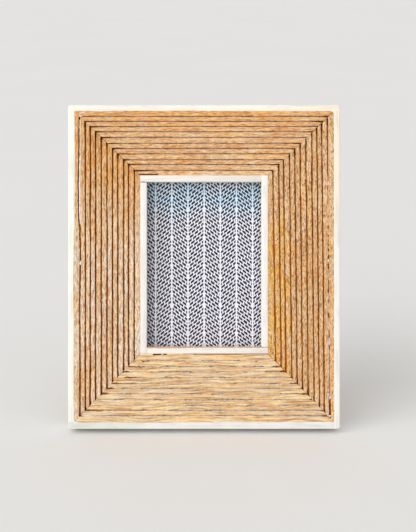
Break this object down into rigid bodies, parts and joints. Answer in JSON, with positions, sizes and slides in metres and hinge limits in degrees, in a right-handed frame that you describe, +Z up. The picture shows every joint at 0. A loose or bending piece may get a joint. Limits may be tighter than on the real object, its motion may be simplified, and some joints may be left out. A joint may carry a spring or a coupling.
{
  "type": "bone inlay photo frame",
  "caption": "Table-top photo frame of mitred, fine-grooved wood rails edged and lined with bone strips, with glass, a turn-button back and a folding easel leg.",
  "frame": {"origin": "on the table, under the middle of the whole frame with its leg open", "axes": "+Z up, the picture looks along -Y, +X to the right of someone who looks at the picture"},
  "size_m": [0.1366, 0.0626, 0.1619],
  "materials": {
    "wood_left": "waxed",
    "wood_top": "waxed",
    "wood_right": "waxed",
    "wood_bottom": "waxed",
    "bone": "polished bone",
    "glass": "clear",
    "print": "matt",
    "card": "matt",
    "board": "covered with black grained paper",
    "brass": "plated",
    "steel": "zinc plated"
  },
  "bodies": {
    "frame": {"rail_left": "wood_left", "rail_top": "wood_top", "rail_right": "wood_right", "rail_bottom": "wood_bottom", "edge_left": "bone", "edge_top": "bone", "edge_right": "bone", "edge_bottom": "bone", "liner_left": "bone", "liner_top": "bone", "liner_right": "bone", "liner_bottom": "bone", "glass_pane": "glass", "picture_print": "print", "filler_card": "card", "backing_board": "board", "hinge_leaf_board": "brass", "hinge_pin": "steel", "board_rivet_1": "brass", "board_rivet_2": "brass", "button_screw_1": "steel", "button_screw_2": "steel", "button_screw_3": "steel", "button_screw_4": "steel"},
    "leg": {"easel_leg": "board", "hinge_leaf_leg": "brass", "leg_rivet_1": "brass", "leg_rivet_2": "brass"},
    "button_1": {"turn_button_1": "steel"},
    "button_2": {"turn_button_2": "steel"},
    "button_3": {"turn_button_3": "steel"},
    "button_4": {"turn_button_4": "steel"}
  },
  "joints": [
    {"name": "leg_fold", "type": "hinge", "parent": "frame", "child": "leg", "pos_m": [0, 0.00714, 0.1084], "axis": [1, 0, 0], "range_deg": [-22, 0]},
    {"name": "button_1_turn", "type": "hinge", "parent": "frame", "child": "button_1", "pos_m": [-0.03745, 0.00583, 0.10801], "axis": [0, 0.9781, -0.2079], "continuous": true},
    {"name": "button_2_turn", "type": "hinge", "parent": "frame", "child": "button_2", "pos_m": [0.03745, 0.00583, 0.10801], "axis": [0, 0.9781, -0.2079], "continuous": true},
    {"name": "button_3_turn", "type": "hinge", "parent": "frame", "child": "button_3", "pos_m": [-0.03745, -0.00581, 0.05323], "axis": [0, 0.9781, -0.2079], "continuous": true},
    {"name": "button_4_turn", "type": "hinge", "parent": "frame", "child": "button_4", "pos_m": [0.03745, -0.00581, 0.05323], "axis": [0, 0.9781, -0.2079], "continuous": true}
  ]
}
